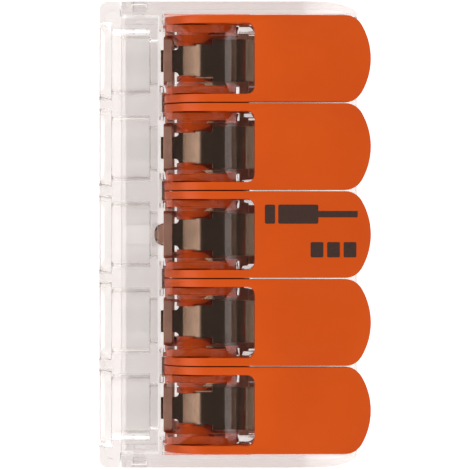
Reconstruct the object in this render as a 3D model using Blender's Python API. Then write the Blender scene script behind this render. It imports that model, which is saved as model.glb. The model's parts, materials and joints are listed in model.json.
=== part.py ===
"""Five-way lever connector for electrical wires.

A clear housing holds one tinned copper busbar. Five strip springs hook into frames that stand
on the busbar, and five levers lift the springs' clamping legs off the wires.

Everything is in metres. X runs the way a wire is pushed in and is measured from the entry face,
Y runs across the five poles and Z is up. The parent empty moves the entry face to -DEPTH / 2,
so the connector stands centred on the world's origin.
"""

import math

import bmesh
import bpy
from mathutils import Matrix, Vector

# Overall size and the row of poles
WIDTH = 0.0367
DEPTH = 0.0214
HEIGHT = 0.0101
POLES = 5
PITCH = 0.00693
POLE_Y = [PITCH * ((POLES - 1) / 2 - index) for index in range(POLES)]
OVERLAP = 0.0001

# Housing
HOUSING_TOP = 0.0100
HOUSING_REAR = 0.0204
PARTING_X = 0.0017
PARTING_GAP = 0.0001
FLOOR = 0.00085
ROOF_UNDERSIDE = 0.0092
DECK_TOP = 0.00835
DECK_UNDERSIDE = 0.0076
SIDE_WALL_INNER = 0.01736
PLUG_CAVITY_REAR = 0.00475
ROOF_REAR = 0.00495
ROOM_FRONT = PLUG_CAVITY_REAR - OVERLAP
CHAMBER_REAR = 0.0194
CHAMBER_HALF = 0.0025
CHAMBER_SLOPE = ((0.0160, FLOOR), (CHAMBER_REAR, 0.0044))
REAR_SLOPE = ((0.0164, 0), (HOUSING_REAR, 0.0042))
DOME_HALF = 0.0027
DOME_INNER_HALF = 0.0021
DOME_REAR_TOP = 0.0099
DOME_REAR_FOOT = 0.0108
DOME_INNER_REAR = (0.00995, 0.01075)
DOME_SHOULDER = ((0.00185, HOUSING_TOP), (0.0028, 0.0091))
DOME_SHOULDER_X = (ROOF_REAR + 0.0004, 0.0120)
FRONT_CORNER_R = 0.0007
REAR_CORNER = (0.0033, 0.0012)
LATCH_WINDOW = ((0.00245, 0.0033), (0.00365, 0.0067))
TEST_SLOT = ((0.0019, -0.000715), (0.0041, 0.000715))
BAR_SLOT_SIDE = 0.0002
BAR_SLOT_ABOVE = 0.00015
BAR_SLOT_BELOW = 0.00002
PLUG_SLOT_BELOW = 0.00005

# Front cover
PLUG_REAR = 0.0046
PLUG_HALF = 0.0171
PLUG_Z = (0.00095, 0.00905)
BORE_CENTRE_Z = 0.0040
BORE_SIZE = 0.0054
BORE_CORNER_R = 0.0020
BORE_LENGTH = 0.0039
THROAT_SIZE = 0.0038
THROAT_CENTRE_Z = 0.0036
THROAT_CORNER_R = 0.0012
MOUTH_WIDTH = 0.0063
MOUTH_HEIGHT = 0.0062
MOUTH_CORNER_R = 0.0012
MOUTH_DEPTH = 0.00087
LATCH_CLEARANCE = 0.00015
LATCH_LUG = 0.0006

# Levers
LEVER_PIVOT = Vector((0.00865, 0, 0.0065))
LEVER_HALF = 0.003415
LEVER_OPENING = math.radians(90)
DISC_R = 0.0036
ARM_INNER = 0.0028
HANDLE_ROOT = 0.0036
HANDLE_UNDERSIDE = 0.00205
HANDLE_TIP = DEPTH - LEVER_PIVOT.x
HANDLE_FLAT_END = 0.0060
HANDLE_TIP_DROP = 0.0003
HANDLE_TIP_THICKNESS = 0.0011
HANDLE_END_R = 0.0053
HANDLE_CORNER_R = 0.0015
ARM_CORNER_R = 0.0003
WINDOW_FRONT = -0.006
HUB_R = 0.0023
CAM_R = 0.00355
CAM_SECTOR = (math.radians(-215), math.radians(-105))
CAM_INNER = 0.00195
BOSS_INNER = 0.0014
BOSS_R = 0.00155
BOSS_TIP_R = 0.00085
BOSS_CENTRE = (-0.00125, 0.00025)
LEVER_CLEARANCE = 0.0001

# Springs
STRIP = 0.00035
SPRING_HALF = 0.0017
RAMP_HALF = 0.0013
NECK_HALF = 0.00088
TONGUE_X = 0.00476
TONGUE_Z = 0.0065
NECK_END_X = 0.0062
NECK_CORNER_R = 0.0003
RAMP_FOOT_X = 0.0066
RAMP_TOP_X = 0.0080
RAMP_SIDE_END_X = 0.0089
SUPPORT_Z = 0.0072
LOOP_R = 0.00115
LOOP_CENTRE = (0.01145, SUPPORT_Z - LOOP_R)
LOOP_END = math.radians(-45)
LEG_TANGENT = math.radians(-60)
LEG_TIP_Z = 0.00208
LEG_HALF = 0.0013
LEG_LIFT = math.radians(27)
LUG_ALONG = 0.0039
LUG_LENGTH = 0.0008
LUG_HALF = 0.00235
NOTCH_R = 0.00055
NOTCH_OUTER = 0.0025

# Busbar
BAR_X = (0.0050, 0.0118)
BAR_Z = (0.00095, 0.00175)
BAR_HALF = 0.0164
FRAME_THICKNESS = 0.0007
FRAME_HALF = 0.0019
FRAME_TOP_HALF = 0.00167
FRAME_TOP = 0.0074
FRAME_WINDOW_HALF = 0.0015
FRAME_WINDOW_TOP = 0.0068
FRAME_SHOULDER = 0.0003
BAR_HOLE_X = (0.00575, 0.0066)
BAR_HOLE_HALF = 0.0014
TEST_TAB_X = 0.00426
TEST_TAB_HALF = 0.0008
TEST_TAB_Z = (0.0069, 0.0073)
TEST_TAB_ROUND = 0.6
TEST_TAB_CLEARANCE = 0.00015

# Mesh settings
WELD_DISTANCE = 1e-7
ON_AXIS = 1e-9
SHARP_ANGLE = math.radians(30)
DISC_STEPS = 60

PLANES = {
    "XY": Matrix.Identity(4),
    "XZ": Matrix(((1, 0, 0, 0), (0, 0, 1, 0), (0, 1, 0, 0), (0, 0, 0, 1))),
    "YZ": Matrix(((0, 0, 1, 0), (1, 0, 0, 0), (0, 1, 0, 0), (0, 0, 0, 1))),
}
FAR = 0.03


# ---------------------------------------------------------------- scene helpers

def clear_scene():
    for old in list(bpy.data.objects):
        bpy.data.objects.remove(old, do_unlink=True)


def make_collection(name):
    collection = bpy.data.collections.new(name)
    bpy.context.scene.collection.children.link(collection)
    return collection


def make_material(name, colour, roughness, metallic=0.0, transmission=0.0):
    material = bpy.data.materials.new(name)
    material.use_nodes = True
    shader = material.node_tree.nodes["Principled BSDF"]
    shader.inputs["Base Color"].default_value = (*colour, 1.0)
    shader.inputs["Roughness"].default_value = roughness
    shader.inputs["Metallic"].default_value = metallic
    shader.inputs["Transmission Weight"].default_value = transmission
    return material


def evaluated_mesh(holder):
    bpy.context.view_layer.update()
    depsgraph = bpy.context.evaluated_depsgraph_get()
    return bpy.data.meshes.new_from_object(holder.evaluated_get(depsgraph))


def close_mesh(mesh):
    """Weld coincident points and turn every face outwards."""
    edit = bmesh.new()
    edit.from_mesh(mesh)
    bmesh.ops.remove_doubles(edit, verts=edit.verts, dist=WELD_DISTANCE)
    bmesh.ops.recalc_face_normals(edit, faces=edit.faces)
    edit.to_mesh(mesh)
    edit.free()


def solid_object(name, mesh):
    solid = bpy.data.objects.new(name, mesh)
    bpy.context.scene.collection.objects.link(solid)
    return solid


# ---------------------------------------------------------------- outlines

def arc(centre, radius, start, end, steps):
    """Points on an arc, both ends included; angles in radians."""
    turns = [start + (end - start) * step / steps for step in range(steps + 1)]
    return [(centre[0] + radius * math.cos(turn), centre[1] + radius * math.sin(turn)) for turn in turns]


def rectangle(low, high):
    return [(low[0], low[1]), (high[0], low[1]), (high[0], high[1]), (low[0], high[1])]


def rounded_rectangle(low, high, radius, steps=4):
    centres = rectangle([value + radius for value in low], [value - radius for value in high])
    outline = []
    for quarter, centre in enumerate(centres):
        start = math.pi + quarter * math.pi / 2
        outline += arc(centre, radius, start, start + math.pi / 2, steps)
    return outline


def mirrored(outline):
    """The upper half of an outline, closed by its mirror image across the first axis."""
    return outline + [(u, -v) for u, v in reversed(outline) if abs(v) > ON_AXIS]


def strip_outline(path, thickness):
    """The outline of a strip that follows a path, with square ends."""
    left, right = [], []
    for index, point in enumerate(path):
        before = Vector(path[max(index - 1, 0)])
        after = Vector(path[min(index + 1, len(path) - 1)])
        along = (after - before).normalized()
        side = Vector((-along.y, along.x)) * thickness / 2
        left.append(tuple(Vector(point) + side))
        right.append(tuple(Vector(point) - side))
    return left + right[::-1]


# ---------------------------------------------------------------- solids

def extruded(outline, low, high, plane):
    """A solid with a flat outline in the named plane, from low to high along its normal."""
    curve = bpy.data.curves.new("outline", "CURVE")
    curve.dimensions = "2D"
    curve.fill_mode = "BOTH"
    curve.extrude = (high - low) / 2
    spline = curve.splines.new("POLY")
    spline.points.add(len(outline) - 1)
    for point, (u, v) in zip(spline.points, outline):
        point.co = (u, v, 0, 1)
    spline.use_cyclic_u = True
    holder = solid_object("outline", curve)
    mesh = evaluated_mesh(holder)
    bpy.data.objects.remove(holder)
    mesh.transform(PLANES[plane] @ Matrix.Translation((0, 0, (low + high) / 2)))
    close_mesh(mesh)
    return solid_object("solid", mesh)


def box(low, high):
    """A box between two corners."""
    bpy.ops.mesh.primitive_cube_add(size=1)
    cube = bpy.context.object
    size = Vector(high) - Vector(low)
    centre = (Vector(high) + Vector(low)) / 2
    cube.data.transform(Matrix.Translation(centre) @ Matrix.Diagonal((*size, 1)))
    return cube


def loft(outlines):
    """A solid through several rings that all have the same number of points."""
    edit = bmesh.new()
    rings = [[edit.verts.new(point) for point in outline] for outline in outlines]
    count = len(outlines[0])
    for ring, following in zip(rings, rings[1:]):
        for index in range(count):
            after = (index + 1) % count
            edit.faces.new((ring[index], ring[after], following[after], following[index]))
    edit.faces.new(rings[0])
    edit.faces.new(rings[-1])
    mesh = bpy.data.meshes.new("loft")
    edit.to_mesh(mesh)
    edit.free()
    close_mesh(mesh)
    return solid_object("loft", mesh)


def combine(piece, tool, operation):
    """Apply one exact Boolean and remove the tool."""
    modifier = piece.modifiers.new("boolean", "BOOLEAN")
    modifier.operation = operation
    modifier.solver = "EXACT"
    modifier.object = tool
    mesh = evaluated_mesh(piece)
    piece.modifiers.clear()
    piece.data = mesh
    bpy.data.objects.remove(tool)
    return piece


def cut(piece, tool):
    return combine(piece, tool, "DIFFERENCE")


def join(piece, tool):
    return combine(piece, tool, "UNION")


def common(piece, tool):
    return combine(piece, tool, "INTERSECT")


def both_sides(low, high):
    """The ranges of y on the two sides of a pole."""
    return ((low, high), (-high, -low))


# ---------------------------------------------------------------- housing and front cover

def housing_plan():
    """Plan outline: square at the parting line, drawn-in corners at the rear."""
    half = WIDTH / 2
    long, deep = REAR_CORNER
    front = PARTING_X + PARTING_GAP / 2
    corner = [(HOUSING_REAR - long + long * u, half - deep + deep * v)
              for u, v in arc((0, 0), 1.0, math.pi / 2, 0, 14)]
    return mirrored([(front, half)] + corner)


def housing_side():
    """Side outline: flat bottom, sloping lower rear corner."""
    return [(0, 0), *REAR_SLOPE, (HOUSING_REAR, HOUSING_TOP), (0, HOUSING_TOP)]


def lever_slot_side():
    """Side outline of the room that the arms of a lever move in."""
    pivot = LEVER_PIVOT
    return [(ROOF_REAR, pivot.z), (pivot.x, pivot.z), (pivot.x, DECK_TOP), (FAR, DECK_TOP),
            (FAR, FAR), (ROOF_REAR, FAR)]


def cut_pole_room(housing, y):
    """Open one pole: wire chamber, dome, and the rooms that the lever turns in."""
    pivot = (LEVER_PIVOT.x, LEVER_PIVOT.z)
    slot_outer = SIDE_WALL_INNER - POLE_Y[0]
    lower = [(ROOM_FRONT, FLOOR), *CHAMBER_SLOPE, (CHAMBER_REAR, pivot[1]), (ROOM_FRONT, pivot[1])]
    inner_top, inner_foot = DOME_INNER_REAR
    join_z = pivot[1] - OVERLAP
    upper = [(ROOM_FRONT, join_z), (CHAMBER_REAR, join_z), (CHAMBER_REAR, DECK_UNDERSIDE),
             (inner_foot, DECK_UNDERSIDE), (inner_top, ROOF_UNDERSIDE), (ROOM_FRONT, ROOF_UNDERSIDE)]
    cut(housing, extruded(lower, y - CHAMBER_HALF, y + CHAMBER_HALF, "XZ"))
    cut(housing, extruded(upper, y - DOME_INNER_HALF, y + DOME_INNER_HALF, "XZ"))

    seat = arc(pivot, DISC_R + LEVER_CLEARANCE, math.radians(-180), 0, DISC_STEPS // 2)
    cut(housing, extruded(seat, y - slot_outer, y + slot_outer, "XZ"))
    hub_reach = HUB_R + LEVER_CLEARANCE
    cam_front = pivot[0] - CAM_R - LEVER_CLEARANCE
    hub_room = [(cam_front, join_z), (cam_front, pivot[1] + hub_reach)]
    hub_room += arc(pivot, hub_reach, math.pi / 2, 0, 12) + [(pivot[0] + hub_reach, join_z)]
    disc_room = arc(pivot, DISC_R + LEVER_CLEARANCE, 0, math.tau, DISC_STEPS)[:-1]
    for low, high in both_sides(DOME_INNER_HALF - OVERLAP, DOME_HALF + OVERLAP / 2):
        cut(housing, extruded(hub_room, y + low, y + high, "XZ"))
    for low, high in both_sides(DOME_HALF, slot_outer):
        cut(housing, extruded(disc_room, y + low, y + high, "XZ"))
        cut(housing, extruded(lever_slot_side(), y + low, y + high, "XZ"))

    above_deck = [(DOME_REAR_FOOT, DECK_TOP), (FAR, DECK_TOP), (FAR, FAR), (DOME_REAR_TOP, FAR),
                  (DOME_REAR_TOP, HOUSING_TOP)]
    cut(housing, extruded(above_deck, y - DOME_HALF - OVERLAP, y + DOME_HALF + OVERLAP, "XZ"))
    (top_y, top_z), (foot_y, foot_z) = DOME_SHOULDER
    for side in (1, -1):
        slope = [(y + side * top_y, top_z), (y + side * foot_y, foot_z),
                 (y + side * foot_y, FAR), (y + side * top_y, FAR)]
        cut(housing, extruded(slope, *DOME_SHOULDER_X, "YZ"))


def make_housing():
    """The main shell: open at the front, with five domes, lever seats and a busbar slot."""
    housing = extruded(housing_plan(), 0, HOUSING_TOP, "XY")
    common(housing, extruded(housing_side(), -WIDTH, WIDTH, "XZ"))
    cavity_low = (0, -SIDE_WALL_INNER, FLOOR - PLUG_SLOT_BELOW)
    cut(housing, box(cavity_low, (PLUG_CAVITY_REAR, SIDE_WALL_INNER, ROOF_UNDERSIDE)))
    for y in POLE_Y:
        cut_pole_room(housing, y)
    slot_half = BAR_HALF + BAR_SLOT_SIDE
    slot_low = (0, -slot_half, FLOOR - BAR_SLOT_BELOW)
    cut(housing, box(slot_low, (BAR_X[1] + BAR_SLOT_SIDE, slot_half, BAR_Z[1] + BAR_SLOT_ABOVE)))
    (low_x, low_z), (high_x, high_z) = LATCH_WINDOW
    cut(housing, box((low_x, -WIDTH, low_z), (high_x, WIDTH, high_z)))
    (low_x, low_y), (high_x, high_y) = TEST_SLOT
    cut(housing, box((low_x, low_y, ROOF_UNDERSIDE - OVERLAP), (high_x, high_y, HEIGHT)))
    return housing


def ring(x, width, height, radius, centre_y, centre_z):
    """A rounded rectangle standing across X."""
    outline = rounded_rectangle((-width / 2, -height / 2), (width / 2, height / 2), radius)
    return [(x, centre_y + u, centre_z + v) for u, v in outline]


def wire_entry(y):
    """The hollow of one wire entry: a shallow mouth, the bore for the insulation and a throat."""
    mouth = (MOUTH_WIDTH, MOUTH_HEIGHT, MOUTH_CORNER_R, y, BORE_CENTRE_Z)
    bore = (BORE_SIZE, BORE_SIZE, BORE_CORNER_R, y, BORE_CENTRE_Z)
    throat = (THROAT_SIZE, THROAT_SIZE, THROAT_CORNER_R, y, THROAT_CENTRE_Z)
    return loft([ring(-OVERLAP, *mouth), ring(MOUTH_DEPTH, *mouth), ring(MOUTH_DEPTH, *bore),
                 ring(BORE_LENGTH, *bore), ring(BORE_LENGTH, *throat), ring(PLUG_REAR + OVERLAP, *throat)])


def make_front_cover():
    """The wire-entry cover: a face plate, a plug that fills the housing's mouth, five entries."""
    half = WIDTH / 2
    rear = PARTING_X - PARTING_GAP / 2
    corner = arc((FRONT_CORNER_R, half - FRONT_CORNER_R), FRONT_CORNER_R, math.pi, math.pi / 2, 5)
    cover = extruded(mirrored(corner + [(rear, half)]), 0, HOUSING_TOP, "XY")
    join(cover, box((rear - OVERLAP, -PLUG_HALF, PLUG_Z[0]), (PLUG_REAR, PLUG_HALF, PLUG_Z[1])))
    (low_x, low_z), (high_x, high_z) = LATCH_WINDOW
    gap = LATCH_CLEARANCE
    reach = SIDE_WALL_INNER + LATCH_LUG
    join(cover, box((low_x + gap, -reach, low_z + gap), (high_x - gap, reach, high_z - gap)))
    for y in POLE_Y:
        cut(cover, wire_entry(y))
    gap = TEST_TAB_CLEARANCE
    tab_half = TEST_TAB_HALF + gap
    cut(cover, box((TEST_TAB_X - gap, -tab_half, TEST_TAB_Z[0] - gap),
                   (PLUG_REAR + OVERLAP, tab_half, TEST_TAB_Z[1] + gap)))
    return cover


# ---------------------------------------------------------------- metal parts

def make_busbar():
    """A flat strip with a standing frame at each pole and a test tab on the middle frame."""
    busbar = box((BAR_X[0], -BAR_HALF, BAR_Z[0]), (BAR_X[1], BAR_HALF, BAR_Z[1]))
    frame_x = (BAR_X[0], BAR_X[0] + FRAME_THICKNESS)
    for y in POLE_Y:
        outline = [(y - FRAME_HALF, BAR_Z[0]), (y + FRAME_HALF, BAR_Z[0]),
                   (y + FRAME_HALF, FRAME_TOP - FRAME_SHOULDER), (y + FRAME_TOP_HALF, FRAME_TOP),
                   (y - FRAME_TOP_HALF, FRAME_TOP), (y - FRAME_HALF, FRAME_TOP - FRAME_SHOULDER)]
        join(busbar, extruded(outline, *frame_x, "YZ"))
    for y in POLE_Y:
        cut(busbar, box((0, y - FRAME_WINDOW_HALF, BAR_Z[1]),
                        (BAR_HOLE_X[0], y + FRAME_WINDOW_HALF, FRAME_WINDOW_TOP)))
        cut(busbar, box((BAR_HOLE_X[0], y - BAR_HOLE_HALF, 0),
                        (BAR_HOLE_X[1], y + BAR_HOLE_HALF, HEIGHT)))
    tab_depth = TEST_TAB_HALF * TEST_TAB_ROUND
    tab_end = [(TEST_TAB_X + tab_depth + tab_depth * u, TEST_TAB_HALF * v)
               for u, v in arc((0, 0), 1.0, math.pi / 2, math.pi, 8)]
    join(busbar, extruded(mirrored([(BAR_X[0] + OVERLAP, TEST_TAB_HALF)] + tab_end), *TEST_TAB_Z, "XY"))
    return busbar


def spring_path():
    """Centre line of the fixed part: tongue, neck, ramp, support leg and rear bend."""
    loop = arc(LOOP_CENTRE, LOOP_R, math.pi / 2, LOOP_END, 16)
    return [(TONGUE_X, TONGUE_Z), (RAMP_FOOT_X, TONGUE_Z), (RAMP_TOP_X, SUPPORT_Z)] + loop


def make_spring():
    """The fixed part of one strip spring, at the middle pole."""
    spring = extruded(strip_outline(spring_path(), STRIP), -SPRING_HALF, SPRING_HALF, "XZ")
    for side in (1, -1):
        corner = (NECK_END_X - NECK_CORNER_R, NECK_HALF + NECK_CORNER_R)
        neck = rectangle((0, NECK_HALF), (corner[0], FAR))
        neck_end = arc(corner, NECK_CORNER_R, -math.pi / 2, math.pi / 2, 6)
        for outline in (neck, neck_end, rectangle((0, RAMP_HALF), (RAMP_SIDE_END_X, FAR))):
            outline = [(u, side * v) for u, v in outline]
            cut(spring, extruded(outline, 0, HEIGHT, "XY"))
    return spring


def leg_hinge():
    turn = LEG_TANGENT
    x = LOOP_CENTRE[0] + LOOP_R * math.cos(turn)
    return Vector((x, 0, LOOP_CENTRE[1] + LOOP_R * math.sin(turn)))


def leg_direction():
    """Unit vector from the hinge to the tip of the leg, in the XZ plane."""
    return Vector((math.sin(LEG_TANGENT), -math.cos(LEG_TANGENT)))


def make_clamp_leg():
    """One clamping leg about its hinge line: a straight strip with a lug on each side."""
    hinge = leg_hinge()
    along = leg_direction()
    length = (LEG_TIP_Z - hinge.z) / along.y
    back = math.atan2(-along.y, -along.x)
    root = arc((0, 0), STRIP / 2, back - math.pi / 2, back + math.pi / 2, 6)
    side = Vector((-along.y, along.x)) * STRIP / 2
    tip = along * length
    leg_outline = root + [tuple(tip - side), tuple(tip + side)]
    leg = extruded(leg_outline, -LEG_HALF, LEG_HALF, "XZ")
    start = along * (LUG_ALONG - LUG_LENGTH / 2)
    end = along * (LUG_ALONG + LUG_LENGTH / 2)
    lug_outline = strip_outline([tuple(start), tuple(end)], STRIP)
    return join(leg, extruded(lug_outline, -LUG_HALF, LUG_HALF, "XZ"))


# ---------------------------------------------------------------- levers

def lever_side():
    """Side outline of a lever about its pivot: a disc with an arm that ends in the handle."""
    start = math.asin(HANDLE_UNDERSIDE / DISC_R)
    disc = arc((0, 0), DISC_R, start, math.pi / 2 - math.tau, DISC_STEPS)
    tip_top = DISC_R - HANDLE_TIP_DROP
    return disc + [(HANDLE_FLAT_END, DISC_R), (HANDLE_TIP, tip_top),
                   (HANDLE_TIP, tip_top - HANDLE_TIP_THICKNESS), (HANDLE_FLAT_END, HANDLE_UNDERSIDE)]


def lever_plan():
    """Plan outline of a lever about its pivot, with the drawn-in end of the handle."""
    centre = HANDLE_TIP - HANDLE_END_R
    corner_y = LEVER_HALF - HANDLE_CORNER_R
    corner_x = centre + math.sqrt((HANDLE_END_R - HANDLE_CORNER_R) ** 2 - corner_y ** 2)
    meet = math.atan2(corner_y, corner_x - centre)
    corner = arc((corner_x, corner_y), HANDLE_CORNER_R, math.pi / 2, meet, 6)
    end = arc((centre, 0), HANDLE_END_R, meet, 0, 8)
    front_r = ARM_CORNER_R
    front = arc((-DISC_R + front_r, LEVER_HALF - front_r), front_r, math.pi, math.pi / 2, 3)
    return mirrored(front + corner + end[1:])


def cam_outline():
    """The hub with its larger cam sector, below and in front of the pivot."""
    low, high = CAM_SECTOR
    return arc((0, 0), CAM_R, low, high, 14) + arc((0, 0), HUB_R, high, low + math.tau, 30)


def lug_path(steps):
    """Where the leg's lug runs, as the turning lever sees it."""
    hinge = leg_hinge()
    path = []
    for step in range(steps + 1):
        share = step / steps
        leg_turn = math.atan2(leg_direction().y, leg_direction().x) - LEG_LIFT * share
        lug = Vector((hinge.x - LEVER_PIVOT.x + LUG_ALONG * math.cos(leg_turn),
                      hinge.z - LEVER_PIVOT.z + LUG_ALONG * math.sin(leg_turn)))
        lug.rotate(Matrix.Rotation(-LEVER_OPENING * share, 2))
        path.append(lug)
    return path


def notch_outline():
    """A slot as wide as the lug needs, along its path, with round ends."""
    path = lug_path(10)
    outline = strip_outline([tuple(point) for point in path], 2 * NOTCH_R)
    half = len(path)
    first = path[0] - path[1]
    last = path[-1] - path[-2]
    out = math.atan2(last.y, last.x)
    back = math.atan2(first.y, first.x)
    end_cap = arc(tuple(path[-1]), NOTCH_R, out + math.pi / 2, out - math.pi / 2, 6)
    start_cap = arc(tuple(path[0]), NOTCH_R, back + math.pi / 2, back - math.pi / 2, 6)
    return outline[1:half - 1] + end_cap + outline[half + 1:-1] + start_cap


def make_boss(side):
    """A tapered boss on the inner face of one cam, narrower towards the middle of the pole."""
    rings = []
    for y, radius in ((BOSS_INNER, BOSS_TIP_R), (CAM_INNER + OVERLAP, BOSS_R)):
        circle = arc(BOSS_CENTRE, radius, 0, math.tau, 20)[:-1]
        rings.append([(u, side * y, v) for u, v in circle])
    return loft(rings)


def make_lever():
    """One lever about its pivot: two arms with discs, cams and bosses, and the handle."""
    lever = extruded(lever_side(), -LEVER_HALF, LEVER_HALF, "XZ")
    common(lever, extruded(lever_plan(), -HEIGHT, HEIGHT, "XY"))
    window = rounded_rectangle((WINDOW_FRONT, -ARM_INNER), (HANDLE_ROOT, ARM_INNER), ARM_CORNER_R)
    cut(lever, extruded(window, -HEIGHT, HEIGHT, "XY"))
    for low, high in both_sides(CAM_INNER, ARM_INNER + OVERLAP):
        join(lever, extruded(cam_outline(), low, high, "XZ"))
    for side in (1, -1):
        join(lever, make_boss(side))
    for low, high in both_sides(BOSS_INNER - OVERLAP, NOTCH_OUTER):
        cut(lever, extruded(notch_outline(), low, high, "XZ"))
    return lever


# ---------------------------------------------------------------- assembly

def finish_piece(piece, name, material, collection, parent, location=(0, 0, 0)):
    """Name a solid, give it its material and place it under the connector's empty."""
    piece.name = name
    piece.data.name = name
    piece.data.materials.clear()
    piece.data.materials.append(material)
    piece.data.shade_smooth()
    piece.data.set_sharp_from_angle(angle=SHARP_ANGLE)
    for old in list(piece.users_collection):
        old.objects.unlink(piece)
    collection.objects.link(piece)
    piece.parent = parent
    piece.location = location
    return piece


def repeat_at_poles(piece, name, material, collection, parent, location):
    """One named object at each pole, all sharing the first one's mesh."""
    for index, y in enumerate(POLE_Y):
        copy = piece if index == 0 else bpy.data.objects.new(name, piece.data)
        if index:
            bpy.context.scene.collection.objects.link(copy)
        place = (location[0], y, location[2])
        finish_piece(copy, f"{name}_{index + 1}", material, collection, parent, place)


def main():
    clear_scene()
    collection = make_collection("lever_wire_connector")
    clear = make_material("clear_plastic", (0.86, 0.84, 0.83), 0.06, transmission=0.9)
    orange = make_material("orange_plastic", (0.63, 0.09, 0.008), 0.38)
    steel = make_material("spring_steel", (0.32, 0.27, 0.22), 0.25, metallic=1.0)
    copper = make_material("tinned_copper", (0.52, 0.40, 0.32), 0.35, metallic=1.0)

    entry_face = bpy.data.objects.new("entry_face", None)
    entry_face.location = (-DEPTH / 2, 0, 0)
    collection.objects.link(entry_face)

    finish_piece(make_housing(), "housing", clear, collection, entry_face)
    finish_piece(make_front_cover(), "front_cover", clear, collection, entry_face)
    finish_piece(make_busbar(), "busbar", copper, collection, entry_face)
    repeat_at_poles(make_spring(), "spring", steel, collection, entry_face, (0, 0, 0))
    repeat_at_poles(make_clamp_leg(), "clamp_leg", steel, collection, entry_face, leg_hinge())
    repeat_at_poles(make_lever(), "lever", orange, collection, entry_face, LEVER_PIVOT)


main()
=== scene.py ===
"""Looks of the five-way lever wire connector: fine rounded pieces, materials, light and camera."""
import json
import math

import bmesh
import bpy
from mathutils import Matrix, Vector


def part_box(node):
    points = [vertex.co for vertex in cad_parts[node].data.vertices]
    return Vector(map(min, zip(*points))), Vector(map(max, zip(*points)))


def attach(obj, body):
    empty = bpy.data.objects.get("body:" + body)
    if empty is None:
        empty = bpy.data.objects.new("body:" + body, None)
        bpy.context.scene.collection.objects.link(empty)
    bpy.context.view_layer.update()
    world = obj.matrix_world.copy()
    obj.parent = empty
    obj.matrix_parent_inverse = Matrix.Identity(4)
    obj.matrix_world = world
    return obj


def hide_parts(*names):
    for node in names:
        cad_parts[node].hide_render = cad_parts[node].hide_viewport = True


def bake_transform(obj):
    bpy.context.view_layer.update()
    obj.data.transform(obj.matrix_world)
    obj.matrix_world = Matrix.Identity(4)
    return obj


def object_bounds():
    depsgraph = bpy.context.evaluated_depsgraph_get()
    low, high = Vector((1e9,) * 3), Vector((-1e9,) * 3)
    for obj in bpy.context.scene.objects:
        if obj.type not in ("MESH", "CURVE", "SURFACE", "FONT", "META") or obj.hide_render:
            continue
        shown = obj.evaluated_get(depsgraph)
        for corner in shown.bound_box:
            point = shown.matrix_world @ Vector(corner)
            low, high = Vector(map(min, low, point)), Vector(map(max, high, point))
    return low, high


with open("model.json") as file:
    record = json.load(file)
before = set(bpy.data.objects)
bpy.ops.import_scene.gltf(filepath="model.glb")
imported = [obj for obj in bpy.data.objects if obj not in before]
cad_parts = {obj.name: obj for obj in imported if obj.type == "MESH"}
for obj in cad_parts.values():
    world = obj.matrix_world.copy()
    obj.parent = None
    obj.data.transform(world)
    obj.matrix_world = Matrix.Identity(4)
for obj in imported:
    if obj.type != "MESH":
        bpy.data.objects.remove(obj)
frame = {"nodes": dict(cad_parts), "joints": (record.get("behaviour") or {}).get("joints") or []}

cad_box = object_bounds()
NODES = frame["nodes"]
JOINTS = {joint["name"]: joint for joint in frame["joints"]}
POLES = 5
FRONT_X = cad_box[0].x
TOP_Z = cad_box[1].z
CENTRE = (cad_box[0] + cad_box[1]) / 2


def pole_y(index):
    """Middle of a pole, counted from 1."""
    low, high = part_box(f"spring_{index}")
    return (low.y + high.y) / 2


# ---------------------------------------------------------------- node helpers

class Nodes:
    """Short names for building a material's nodes."""

    def __init__(self, name):
        self.material = bpy.data.materials.new(name)
        self.material.use_nodes = True
        self.tree = self.material.node_tree
        self.shader = self.tree.nodes["Principled BSDF"]

    def add(self, kind, inputs=None, **settings):
        node = self.tree.nodes.new(kind)
        for key, value in settings.items():
            setattr(node, key, value)
        for key, value in (inputs or {}).items():
            self.set(node, key, value)
        return node

    def set(self, node, key, value):
        socket = node.inputs[key]
        if isinstance(value, bpy.types.NodeSocket):
            self.tree.links.new(value, socket)
        else:
            socket.default_value = value

    def shade(self, **inputs):
        for key, value in inputs.items():
            self.set(self.shader, key.replace("_", " "), value)

    def position(self, scale=(1, 1, 1)):
        """Rest-frame coordinates, stretched, so the pattern stays on the piece."""
        coordinates = self.add("ShaderNodeTexCoord")
        mapping = self.add("ShaderNodeMapping", {"Vector": coordinates.outputs["Object"], "Scale": scale})
        return mapping.outputs["Vector"]

    def noise(self, vector, scale, detail=3.0, roughness=0.5):
        node = self.add("ShaderNodeTexNoise", {"Vector": vector, "Scale": scale, "Detail": detail,
                                               "Roughness": roughness})
        return node.outputs["Fac"]

    def ramp(self, factor, stops):
        node = self.add("ShaderNodeValToRGB", {"Fac": factor})
        ramp = node.color_ramp
        while len(ramp.elements) < len(stops):
            ramp.elements.new(0.5)
        for element, (place, colour) in zip(ramp.elements, stops):
            element.position = place
            element.color = (*colour, 1)
        return node.outputs["Color"]

    def spread(self, factor, low, high):
        node = self.add("ShaderNodeMapRange", {"Value": factor, "To Min": low, "To Max": high})
        return node.outputs["Result"]

    def bump(self, height, distance, strength=1.0):
        node = self.add("ShaderNodeBump", {"Height": height, "Distance": distance, "Strength": strength})
        return node.outputs["Normal"]


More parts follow.
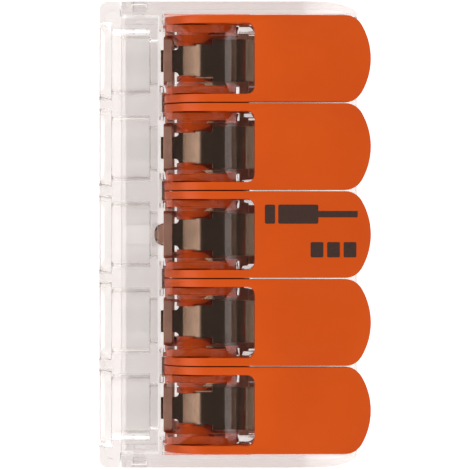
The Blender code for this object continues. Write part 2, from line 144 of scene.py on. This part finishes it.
def clear_plastic(name, tint, coat, density):
    """Clear polycarbonate: faint flow marks, a glossy skin and a slight warm tint that deepens with depth."""
    n = Nodes(name)
    flow = n.noise(n.position((200, 900, 400)), 1.0, 2.0)
    n.shade(Base_Color=n.ramp(flow, [(0.3, tint), (0.7, tuple(min(1, c * 1.01) for c in tint))]),
            Roughness=n.spread(flow, 0.05, 0.09), Transmission_Weight=1.0, IOR=1.18,
            Specular_IOR_Level=0.5, Coat_Weight=coat, Coat_Roughness=0.05, Coat_IOR=1.5)
    depth = n.add("ShaderNodeVolumeAbsorption", {"Color": (0.958, 0.9485, 0.946, 1), "Density": density})
    n.tree.links.new(depth.outputs["Volume"], n.tree.nodes["Material Output"].inputs["Volume"])
    return n.material


def lever_plastic():
    """Orange moulded plastic: satin skin with a fine grain and a faint colour drift."""
    n = Nodes("orange_lever_plastic")
    place = n.position()
    drift = n.noise(place, 160.0, 3.0)
    grain = n.noise(place, 14000.0, 2.0, 0.6)
    n.shade(Base_Color=n.ramp(drift, [(0.3, (0.665, 0.078, 0.0006)), (0.7, (0.715, 0.090, 0.0012))]),
            Roughness=n.spread(grain, 0.38, 0.50), Specular_IOR_Level=0.26,
            Normal=n.bump(grain, 0.00001, 0.35))
    return n.material


def strip_steel():
    """Rolled spring steel: dark, warm, with fine lines along the strip."""
    n = Nodes("spring_steel_strip")
    lines = n.noise(n.position((300, 26000, 300)), 1.0, 3.0, 0.6)
    tone = n.noise(n.position(), 700.0, 2.0)
    n.shade(Base_Color=n.ramp(tone, [(0.25, (0.200, 0.126, 0.087)), (0.75, (0.245, 0.160, 0.110))]),
            Metallic=1.0, Roughness=n.spread(lines, 0.16, 0.30), Normal=n.bump(lines, 0.000006, 0.5))
    return n.material


def tinned_copper():
    """Tin plate over copper: warm grey with cloudy roughness."""
    n = Nodes("tinned_copper_plate")
    cloud = n.noise(n.position(), 900.0, 4.0, 0.65)
    n.shade(Base_Color=n.ramp(cloud, [(0.25, (0.46, 0.25, 0.185)), (0.75, (0.60, 0.36, 0.27))]),
            Metallic=1.0, Roughness=n.spread(cloud, 0.50, 0.62), Normal=n.bump(cloud, 0.00001, 0.4))
    return n.material


def ink():
    """Dark brown pad print, slightly uneven."""
    n = Nodes("brown_ink")
    patch = n.noise(n.position(), 5000.0, 3.0)
    n.shade(Base_Color=n.ramp(patch, [(0.2, (0.030, 0.009, 0.004)), (0.8, (0.050, 0.016, 0.007))]),
            Roughness=n.spread(patch, 0.45, 0.6))
    return n.material


def floor_white():
    """Pale floor that glows a little, like a light table."""
    n = Nodes("pale_floor")
    mottle = n.noise(n.position(), 40.0, 2.0)
    n.shade(Base_Color=n.ramp(mottle, [(0.3, (0.93, 0.93, 0.93)), (0.7, (0.95, 0.95, 0.95))]),
            Roughness=0.9, Emission_Color=(1, 0.985, 0.975, 1), Emission_Strength=0.75)
    return n.material


# ---------------------------------------------------------------- outlines

def arc(centre, radius, start, end, steps):
    """Points on an arc, both ends included; angles in radians."""
    turns = [start + (end - start) * step / steps for step in range(steps + 1)]
    return [(centre[0] + radius * math.cos(turn), centre[1] + radius * math.sin(turn)) for turn in turns]


def rectangle(low, high):
    return [(low[0], low[1]), (high[0], low[1]), (high[0], high[1]), (low[0], high[1])]


def rounded_rectangle(low, high, radius, steps=4):
    centres = rectangle([value + radius for value in low], [value - radius for value in high])
    outline = []
    for quarter, centre in enumerate(centres):
        start = math.pi + quarter * math.pi / 2
        outline += arc(centre, radius, start, start + math.pi / 2, steps)
    return outline


def mirrored(outline):
    """The upper half of an outline, closed by its mirror image across the first axis."""
    return outline + [(u, -v) for u, v in reversed(outline) if abs(v) > 1e-9]


def rounded_path(points, radius, steps=6):
    """A line through points whose corners are rounded."""
    path = [Vector(points[0])]
    for before, corner, after in zip(points, points[1:], points[2:]):
        corner = Vector(corner)
        into = (corner - Vector(before)).normalized()
        out = (Vector(after) - corner).normalized()
        reach = radius * math.tan(into.angle(out) / 2)
        start, end = corner - into * reach, corner + out * reach
        for step in range(steps + 1):
            share = step / steps
            path.append(start.lerp(corner, share).lerp(corner.lerp(end, share), share))
    return path + [Vector(points[-1])]


def strip_outline(path, thickness):
    """The outline of a strip that follows a path, with square ends."""
    left, right = [], []
    for index, point in enumerate(path):
        along = (Vector(path[min(index + 1, len(path) - 1)]) - Vector(path[max(index - 1, 0)])).normalized()
        side = Vector((-along.y, along.x)) * thickness / 2
        left.append(tuple(Vector(point) + side))
        right.append(tuple(Vector(point) - side))
    return left + right[::-1]


# ---------------------------------------------------------------- mesh helpers

def new_object(name, mesh):
    made = bpy.data.objects.new(name, mesh)
    bpy.context.scene.collection.objects.link(made)
    return made


def apply_modifiers(piece):
    bpy.context.view_layer.update()
    evaluated = piece.evaluated_get(bpy.context.evaluated_depsgraph_get())
    mesh = bpy.data.meshes.new_from_object(evaluated)
    piece.modifiers.clear()
    piece.data = mesh
    return piece


def extruded(outline, low, high, plane):
    """A solid with a flat outline in the XY, XZ or YZ plane, from low to high along its normal."""
    edit = bmesh.new()
    corners = {"XY": lambda u, v, w: (u, v, w), "XZ": lambda u, v, w: (u, w, v),
               "YZ": lambda u, v, w: (w, u, v)}[plane]
    base = edit.faces.new([edit.verts.new(corners(u, v, low)) for u, v in outline])
    grown = bmesh.ops.extrude_face_region(edit, geom=[base])["geom"]
    verts = [item for item in grown if isinstance(item, bmesh.types.BMVert)]
    bmesh.ops.translate(edit, verts=verts, vec=Vector(corners(0, 0, high - low)))
    bmesh.ops.recalc_face_normals(edit, faces=edit.faces)
    mesh = bpy.data.meshes.new("solid")
    edit.to_mesh(mesh)
    edit.free()
    return new_object("solid", mesh)


def combine(piece, tool, operation):
    """Apply one exact Boolean and remove the tool."""
    modifier = piece.modifiers.new("boolean", "BOOLEAN")
    modifier.operation = operation
    modifier.solver = "EXACT"
    modifier.object = tool
    apply_modifiers(piece)
    bpy.data.objects.remove(tool)
    return piece


def cut(piece, tool):
    return combine(piece, tool, "DIFFERENCE")


def join(piece, tool):
    return combine(piece, tool, "UNION")


def common(piece, tool):
    return combine(piece, tool, "INTERSECT")


def both_sides(low, high):
    """The ranges of y on the two sides of a pole."""
    return ((low, high), (-high, -low))


def whole_faces(piece):
    """Weld a piece's mesh and make each flat area one face, or a few triangles."""
    edit = bmesh.new()
    edit.from_mesh(piece.data)
    bmesh.ops.remove_doubles(edit, verts=edit.verts, dist=4e-7)
    bmesh.ops.dissolve_limit(edit, angle_limit=math.radians(0.6), verts=edit.verts, edges=edit.edges)
    large = [face for face in edit.faces if len(face.verts) > 4]
    bmesh.ops.triangulate(edit, faces=large)
    clean = bpy.data.meshes.new(piece.name)
    edit.to_mesh(clean)
    edit.free()
    piece.data = clean
    return piece


def smooth(piece, angle=35):
    piece.data.shade_smooth()
    piece.data.set_sharp_from_angle(angle=math.radians(angle))
    return piece


def round_edges(piece, width, segments=2, angle=28, clamp=True):
    """Round every edge sharper than the angle; large faces set the shading, so they look flat."""
    smooth(whole_faces(piece))
    bevel = piece.modifiers.new("edge", "BEVEL")
    bevel.width = width
    bevel.segments = segments
    bevel.limit_method = "ANGLE"
    bevel.angle_limit = math.radians(angle)
    bevel.use_clamp_overlap = clamp
    bevel.harden_normals = True
    weighted = piece.modifiers.new("normals", "WEIGHTED_NORMAL")
    weighted.mode = "FACE_AREA"
    weighted.weight = 80
    weighted.keep_sharp = True
    return apply_modifiers(piece)


def node_copy(name, node):
    """A copy of a CAD node's shape."""
    return new_object(name, NODES[node].data.copy())


def finish_piece(piece, name, material, slot, *nodes, body="root"):
    piece.name = name
    piece.data.materials.clear()
    piece.data.materials.append(material)
    if body:
        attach(piece, body)
    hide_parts(*nodes)
    return piece


# ---------------------------------------------------------------- clear parts

HOUSING_EDGE = 0.00006
COVER_EDGE = 0.0001
LATCH_X = (0.00251, 0.00359)
LATCH_Z = (0.00336, 0.00664)
LATCH_Y = (0.0178, 0.01831)


def make_clear_parts():
    """The shell and the cover from their CAD shapes, with softened edges; the latches fill their windows."""
    housing = round_edges(node_copy("housing", "housing"), HOUSING_EDGE)
    plastic = clear_plastic("clear_housing_plastic", (0.993, 0.986, 0.984), 0.5, 690.0)
    finish_piece(housing, "housing_shell", plastic, "clear_housing", "housing")
    cover = node_copy("cover", "front_cover")
    for low, high in both_sides(*LATCH_Y):
        latch = rectangle((FRONT_X + LATCH_X[0], LATCH_Z[0]), (FRONT_X + LATCH_X[1], LATCH_Z[1]))
        join(cover, extruded(latch, low, high, "XZ"))
    round_edges(cover, COVER_EDGE)
    plastic = clear_plastic("clear_cover_plastic", (0.986, 0.970, 0.963), 0.8, 350.0)
    finish_piece(cover, "wire_entry_cover", plastic, "clear_cover", "front_cover")


# ---------------------------------------------------------------- levers

LEVER_LOW, LEVER_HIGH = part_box("lever_3")
PIVOT = Vector(JOINTS["lever_3_hinge"]["pos_m"])
LEG_HINGE = Vector(JOINTS["clamp_leg_3_flex"]["pos_m"])
LEVER_HALF = (LEVER_HIGH.y - LEVER_LOW.y) / 2
DISC_R = PIVOT.x - LEVER_LOW.x
HANDLE_TIP = LEVER_HIGH.x - PIVOT.x
ARM_INNER = 0.0028
HANDLE_ROOT = 0.0036
HANDLE_UNDERSIDE = 0.00205
FLAT_END = 0.0060
TIP_DROP = 0.0003
TIP_THICKNESS = 0.0011
PAST_TIP = 0.0010
LEVER_EDGE = 0.00024
WINDOW_CORNER_R = 0.0006
END_R = 0.0053
CORNER_R = 0.0015
HUB_R = 0.0023
CAM_R = 0.00355
CAM_SECTOR = (math.radians(-215), math.radians(-105))
CAM_INNER = 0.00195
CAM_OUTER = ARM_INNER + 0.00005
CAM_EDGE = 0.00008
BOSS_INNER = 0.0014
BOSS_R = 0.00155
BOSS_TIP_R = 0.00085
BOSS_CENTRE = (-0.00125, 0.00025)
BOSS_EDGE = 0.0003
BOSS_FOOT = ARM_INNER - 0.0001
NOTCH_R = 0.00046
NOTCH_INNER = BOSS_INNER - 0.0002
NOTCH_OUTER = 0.0025


def lever_side():
    """Side outline about the pivot: a disc with an arm that runs past the handle's end."""
    start = math.asin(HANDLE_UNDERSIDE / DISC_R)
    disc = arc((0, 0), DISC_R, start, math.pi / 2 - math.tau, 56)
    share = (HANDLE_TIP + PAST_TIP - FLAT_END) / (HANDLE_TIP - FLAT_END)
    top = DISC_R - TIP_DROP * share
    bottom = HANDLE_UNDERSIDE + (DISC_R - TIP_DROP - TIP_THICKNESS - HANDLE_UNDERSIDE) * share
    return disc + [(FLAT_END, DISC_R), (HANDLE_TIP + PAST_TIP, top), (HANDLE_TIP + PAST_TIP, bottom),
                   (FLAT_END, HANDLE_UNDERSIDE)]


def lever_plan():
    """Plan outline about the pivot, with the drawn-in end of the handle."""
    centre = HANDLE_TIP - END_R
    corner_y = LEVER_HALF - CORNER_R
    corner_x = centre + math.sqrt((END_R - CORNER_R) ** 2 - corner_y ** 2)
    meet = math.atan2(corner_y, corner_x - centre)
    corner = arc((corner_x, corner_y), CORNER_R, math.pi / 2, meet, 6)
    end = arc((centre, 0), END_R, meet, 0, 8)
    return mirrored([(-2 * DISC_R, LEVER_HALF)] + corner + end[1:])


def cam_outline():
    """The hub with its larger cam sector in front of the pivot."""
    low, high = CAM_SECTOR
    return arc((0, 0), CAM_R, low, high, 20) + arc((0, 0), HUB_R, high, low + math.tau, 36)


def lug_path(steps):
    """Where the clamping leg's lug runs, as the turning lever sees it."""
    reach = max(vert.co.y for vert in NODES["clamp_leg_3"].data.vertices)
    lug = [vert.co for vert in NODES["clamp_leg_3"].data.vertices if vert.co.y > reach - 0.0001]
    lug = sum(lug, Vector()) / len(lug)
    start = Vector((lug.x - LEG_HINGE.x, lug.z - LEG_HINGE.z))
    to_pivot = Vector((LEG_HINGE.x - PIVOT.x, LEG_HINGE.z - PIVOT.z))
    opening = math.radians(JOINTS["lever_3_hinge"]["range_deg"][1])
    lift = math.radians(JOINTS["clamp_leg_3_flex"]["range_deg"][1])
    path = []
    for step in range(steps + 1):
        share = step / steps
        place = Matrix.Rotation(-lift * share, 2) @ start + to_pivot
        path.append(Matrix.Rotation(-opening * share, 2) @ place)
    return path


def notch_outline():
    """A slot as wide as the lug needs, along its path, with a round far end."""
    path = lug_path(12)
    outline = strip_outline(path, 2 * NOTCH_R)
    last = path[-1] - path[-2]
    out = math.atan2(last.y, last.x)
    cap = arc(tuple(path[-1]), NOTCH_R, out + math.pi / 2, out - math.pi / 2, 8)
    half = len(path)
    return outline[:half - 1] + cap + outline[half + 1:]


def boss_shape(side):
    """A tapered boss with a soft rim on the inner face of one cam."""
    circle = arc(BOSS_CENTRE, BOSS_TIP_R, 0, math.tau, 40)[:-1]
    low, high = BOSS_INNER, BOSS_FOOT
    boss = extruded(circle, *sorted((side * low, side * high)), "XZ")
    grown = 1 + (BOSS_R / BOSS_TIP_R - 1) * (high - low) / (CAM_INNER - low)
    for vert in boss.data.vertices:
        if abs(vert.co.y) > (low + high) / 2:
            vert.co.x = BOSS_CENTRE[0] + (vert.co.x - BOSS_CENTRE[0]) * grown
            vert.co.z = BOSS_CENTRE[1] + (vert.co.z - BOSS_CENTRE[1]) * grown
    return round_edges(boss, BOSS_EDGE, 4)


def lever_shape():
    """One lever about its pivot: a softly rounded body, with cams and tapering bosses inside."""
    lever = extruded(lever_side(), -LEVER_HALF, LEVER_HALF, "XZ")
    common(lever, extruded(lever_plan(), -2 * DISC_R, 2 * DISC_R, "XY"))
    window = rounded_rectangle((-3 * DISC_R, -ARM_INNER), (HANDLE_ROOT, ARM_INNER),
                               WINDOW_CORNER_R, 5)
    cut(lever, extruded(window, -2 * DISC_R, 2 * DISC_R, "XY"))
    round_edges(lever, LEVER_EDGE, 4)
    for low, high in both_sides(CAM_INNER, CAM_OUTER):
        join(lever, round_edges(extruded(cam_outline(), low, high, "XZ"), CAM_EDGE))
    for side in (1, -1):
        join(lever, boss_shape(side))
    for low, high in both_sides(NOTCH_INNER, NOTCH_OUTER):
        cut(lever, extruded(notch_outline(), low, high, "XZ"))
    return smooth(lever, 40)


def make_levers():
    material = lever_plastic()
    shape = lever_shape()
    for index in range(1, POLES + 1):
        node = f"lever_{index}"
        lever = new_object("lever", shape.data.copy())
        lever.data.transform(Matrix.Translation((PIVOT.x, pole_y(index), PIVOT.z)))
        finish_piece(lever, f"lever_moulding_{index}", material, "orange_lever", node, body=node)
    bpy.data.objects.remove(shape)


# ---------------------------------------------------------------- metal

STRIP = 0.00035
STRIP_HALF = 0.0017
RAMP_HALF = 0.0013
NECK_HALF = 0.00088
NECK_END = 0.00144
NECK_CORNER_R = 0.0003
RAMP_FOOT = 0.00184
RAMP_TOP = 0.00324
RAMP_RISE = 0.0007
RAMP_END = 0.00414
SPRING_EDGE = 0.00004
BAR_EDGE = 0.00005
LEG_HALF = 0.0013
LUG_HALF = 0.00235
LUG_LENGTH = 0.0008
LOOP_R = 0.00115
TONGUE_HALF = 0.00242
TONGUE_LENGTH = 0.0011
TONGUE_Z = (0.00096, 0.00174)
SEAT_DIP = 0.0001
SEAT_SLOPE = math.radians(19)
SEAT_LENGTH = 0.000725
CROWN_R = 0.0002
FLAT_AT = 0.00660
FLAT_R = 0.0006
FLAT_SLANT = math.radians(17)
FLAT_DEPTH = 0.00012
LEG_TANGENT = math.radians(-60)


def spring_path():
    """Centre line of a whole spring: tongue, ramp, support, rear bend and clamping leg."""
    low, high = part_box("spring_3")
    leg_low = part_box("clamp_leg_3")[0]
    support_z = high.z - STRIP / 2
    tongue_z = support_z - RAMP_RISE
    centre = (LEG_HINGE.x - LOOP_R * math.cos(LEG_TANGENT), LEG_HINGE.z - LOOP_R * math.sin(LEG_TANGENT))
    ramp = rounded_path([(low.x, tongue_z), (low.x + RAMP_FOOT, tongue_z), (low.x + RAMP_TOP, support_z),
                         (centre[0] - 0.0008, support_z)], 0.0005)
    dip = Vector((centre[0] + 0.0001, support_z - SEAT_DIP))
    seat_end = dip + Vector((math.cos(SEAT_SLOPE), math.sin(SEAT_SLOPE))) * SEAT_LENGTH
    seat = rounded_path([(centre[0] - 0.0005, support_z), dip, seat_end], 0.0003)
    crown_centre = seat_end + Vector((math.sin(SEAT_SLOPE), -math.cos(SEAT_SLOPE))) * CROWN_R
    crown = arc(crown_centre, CROWN_R, math.pi / 2 + SEAT_SLOPE, 0, 8)
    bend = arc(centre, LOOP_R, math.radians(20), LEG_TANGENT + 0.05, 16)
    along = Vector((math.sin(LEG_TANGENT), -math.cos(LEG_TANGENT)))
    tip_z = leg_low.z + STRIP / 2 * math.cos(LEG_TANGENT)
    start = Vector((LEG_HINGE.x, LEG_HINGE.z))
    length = (tip_z - start.y) / along.y
    leg = [start + along * length * share for share in (0.0, 0.05, 0.1, 0.2, 0.5, 1.0)]
    return ramp + seat + crown[1:] + bend + leg


def coined_flat(start, top):
    """The tool for a small round flat, pressed at a slant in front of the spring's seat."""
    outline = arc((start + FLAT_R, 0), FLAT_R, 0, math.tau, 28)[:-1]
    tool = extruded(outline, top, 2 * top, "XY")
    for vert in tool.data.vertices:
        if vert.co.z < 1.5 * top:
            vert.co.z = top + (vert.co.x - start) * math.tan(FLAT_SLANT) - FLAT_DEPTH
    return tool


def spring_shape():
    """One whole strip spring at the middle pole."""
    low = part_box("spring_3")[0]
    spring = extruded(strip_outline(spring_path(), STRIP), -STRIP_HALF, STRIP_HALF, "XZ")
    neck_round_x = low.x + NECK_END - NECK_CORNER_R
    before = low.x - 0.001
    leg_top = LEG_HINGE.z + 0.0001
    far = 0.01
    for side in (1, -1):
        neck = rectangle((before, NECK_HALF), (neck_round_x, far))
        neck_round = arc((neck_round_x, NECK_HALF + NECK_CORNER_R), NECK_CORNER_R, -math.pi / 2, math.pi / 2, 8)
        ramp = rectangle((before, RAMP_HALF), (low.x + RAMP_END, far))
        for outline in (neck, neck_round, ramp):
            outline = [(u, side * v) for u, v in outline]
            cut(spring, extruded(outline, leg_top, far, "XY"))
        leg_side = [(u, side * v) for u, v in rectangle((low.x, LEG_HALF), (far, far))]
        cut(spring, extruded(leg_side, -far, leg_top, "XY"))
    lug_at = lug_path(1)[0] + Vector((PIVOT.x, PIVOT.z))
    along = Vector((math.sin(LEG_TANGENT), -math.cos(LEG_TANGENT))) * LUG_LENGTH / 2
    lug = strip_outline([lug_at - along, lug_at + along], STRIP)
    join(spring, extruded(lug, -LUG_HALF, LUG_HALF, "XZ"))
    cut(spring, coined_flat(low.x + FLAT_AT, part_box("spring_3")[1].z))
    return round_edges(spring, SPRING_EDGE, angle=35, clamp=False)


def make_metal():
    steel = strip_steel()
    shape = spring_shape()
    for index in range(1, POLES + 1):
        spring = new_object("spring", shape.data.copy())
        spring.data.transform(Matrix.Translation((0, pole_y(index), 0)))
        leg = f"clamp_leg_{index}"
        finish_piece(spring, f"spring_strip_{index}", steel, "spring_steel",
                     f"spring_{index}", leg, body=None)
        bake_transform(spring)
    bpy.data.objects.remove(shape)
    bar = node_copy("bar", "busbar")
    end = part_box("busbar")[1].x
    for index in range(1, POLES + 1):
        y = pole_y(index)
        tongue = rectangle((end - 0.0002, y - TONGUE_HALF), (end + TONGUE_LENGTH, y + TONGUE_HALF))
        join(bar, extruded(tongue, *TONGUE_Z, "XY"))
    round_edges(bar, BAR_EDGE, clamp=False)
    finish_piece(bar, "current_bar", tinned_copper(), "tinned_copper", "busbar")


# ---------------------------------------------------------------- print

INK_THICKNESS = 0.000012
WIRE_Y = (0.00085, 0.00235)
CORE_Y = (0.00135, 0.00185)
SQUARE_Y = (-0.0018, -0.0006)
SQUARE_WIDTH = 0.0010


def lever_top(x):
    """Height of a lever's top surface at x, in the world frame."""
    past = max(0.0, x - PIVOT.x - FLAT_END)
    return PIVOT.z + DISC_R - TIP_DROP * past / (HANDLE_TIP - FLAT_END)


def make_print():
    """A pictogram of a stripped wire over a row of squares, printed on the middle lever."""
    left = PIVOT.x + 0.0044
    shapes = [rounded_rectangle((left + start, WIRE_Y[0]), (left + end, WIRE_Y[1]), 0.00012)
              for start, end in ((0.0, 0.0008), (0.00105, 0.0042))]
    shapes.append(rectangle((left + 0.0042, CORE_Y[0]), (left + 0.0073, CORE_Y[1])))
    shapes += [rounded_rectangle((left + start, SQUARE_Y[0]), (left + start + SQUARE_WIDTH, SQUARE_Y[1]), 0.0001)
               for start in (0.0036, 0.0049, 0.0062)]
    edit = bmesh.new()
    for outline in shapes:
        edit.faces.new([edit.verts.new((u, v, 0)) for u, v in outline])
    grown = bmesh.ops.extrude_face_region(edit, geom=list(edit.faces))["geom"]
    for item in grown:
        if isinstance(item, bmesh.types.BMVert):
            item.co.z = INK_THICKNESS
    bmesh.ops.recalc_face_normals(edit, faces=edit.faces)
    bmesh.ops.bisect_plane(edit, geom=edit.verts[:] + edit.edges[:] + edit.faces[:],
                           plane_co=(PIVOT.x + FLAT_END, 0, 0), plane_no=(1, 0, 0))
    for vert in edit.verts:
        vert.co.z += lever_top(vert.co.x)
        vert.co.y += pole_y(3)
    mesh = bpy.data.meshes.new("print")
    edit.to_mesh(mesh)
    edit.free()
    finish_piece(new_object("print", mesh), "lever_print", ink(), "orange_lever", body="lever_3")


# ---------------------------------------------------------------- stage

def make_stage():
    bpy.ops.mesh.primitive_plane_add(size=2.0, location=(0, 0, -0.00002))
    floor = bpy.context.object
    floor.name = "floor"
    floor.data.materials.append(floor_white())


def area_light(name, place, size, power):
    data = bpy.data.lights.new(name, "AREA")
    data.shape = "RECTANGLE"
    data.size, data.size_y = size
    data.energy = power
    light = bpy.data.objects.new(name, data)
    bpy.context.scene.collection.objects.link(light)
    light.location = place
    light.rotation_euler = (CENTRE - Vector(place)).to_track_quat("-Z", "Y").to_euler()


TENT = ((0.0, 0.95), (0.55, 1.0), (0.88, 0.88), (0.935, 0.20), (1.0, 0.08))


def make_world():
    """A light tent: bright walls, and a darker opening overhead where the camera looks in."""
    world = bpy.data.worlds.new("studio")
    world.use_nodes = True
    tree = world.node_tree
    background = tree.nodes["Background"]
    coordinates = tree.nodes.new("ShaderNodeTexCoord")
    parts = tree.nodes.new("ShaderNodeSeparateXYZ")
    ramp = tree.nodes.new("ShaderNodeValToRGB")
    tree.links.new(coordinates.outputs["Generated"], parts.inputs["Vector"])
    tree.links.new(parts.outputs["Z"], ramp.inputs["Fac"])
    tree.links.new(ramp.outputs["Color"], background.inputs["Color"])
    while len(ramp.color_ramp.elements) < len(TENT):
        ramp.color_ramp.elements.new(0.5)
    for element, (place, level) in zip(ramp.color_ramp.elements, TENT):
        element.position = place
        element.color = (level, level * 0.99, level * 0.98, 1)
    background.inputs["Strength"].default_value = 1.0
    bpy.context.scene.world = world


def make_light():
    make_world()
    area_light("soft_box_left", (-0.35, 0.0, 0.20), (0.5, 0.25), 0.6)
    scene = bpy.context.scene
    scene.view_settings.view_transform = "Standard"
    scene.view_settings.look = "None"


def make_camera():
    """Straight above, with a long lens; the connector's length fills the picture's height."""
    data = bpy.data.cameras.new("camera")
    data.lens = 200
    data.sensor_width = 36
    view_width = 0.03695
    distance = view_width * data.lens / data.sensor_width
    data.clip_start = 0.01
    data.clip_end = 10
    camera = bpy.data.objects.new("camera", data)
    camera.location = (CENTRE.x, -0.00004, TOP_Z + distance)
    bpy.context.scene.collection.objects.link(camera)
    bpy.context.scene.camera = camera


make_camera()
make_stage()
make_light()
make_clear_parts()
make_levers()
make_metal()
make_print()
